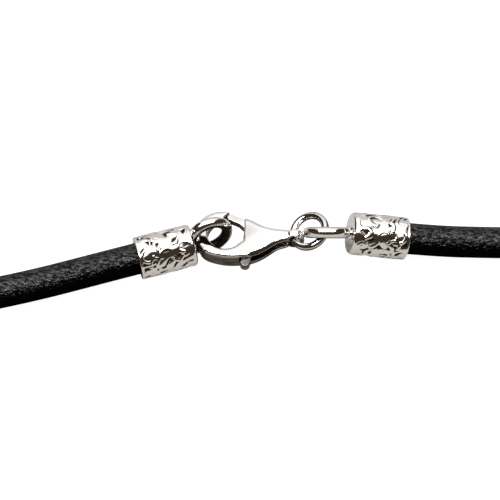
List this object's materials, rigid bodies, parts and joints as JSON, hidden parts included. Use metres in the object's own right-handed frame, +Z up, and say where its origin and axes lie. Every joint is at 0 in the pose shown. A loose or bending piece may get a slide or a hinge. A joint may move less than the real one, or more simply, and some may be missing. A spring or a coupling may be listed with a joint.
{
  "type": "leather necklace",
  "caption": "Necklace of round leather cord with scrolled end caps, their ring loops joined by a lobster clasp and a jump ring, lying closed in a loop.",
  "frame": {"origin": "on the table, under the middle of the metal pieces", "axes": "+X from the left end cap to the right one, +Y away from the front, into the loop, +Z up from the table"},
  "size_m": [0.1508, 0.1189, 0.0072],
  "materials": {
    "leather": "satin",
    "oxidised_silver": "polished, dark in the recesses",
    "silver": "polished"
  },
  "bodies": {
    "necklace": {"leather_cord": "leather", "left_end_cap": "oxidised_silver", "right_end_cap": "oxidised_silver", "jump_ring": "silver", "clasp_body": "silver", "clasp_pin": "silver"},
    "lever": {"clasp_lever": "silver"}
  },
  "joints": [
    {"name": "lever_hinge", "type": "hinge", "parent": "necklace", "child": "lever", "pos_m": [-0.00205, 0.00161, 0.00303], "axis": [0, 0, 1], "range_deg": [0, 12], "stiffness_Nm_per_rad": 0.00005}
  ]
}
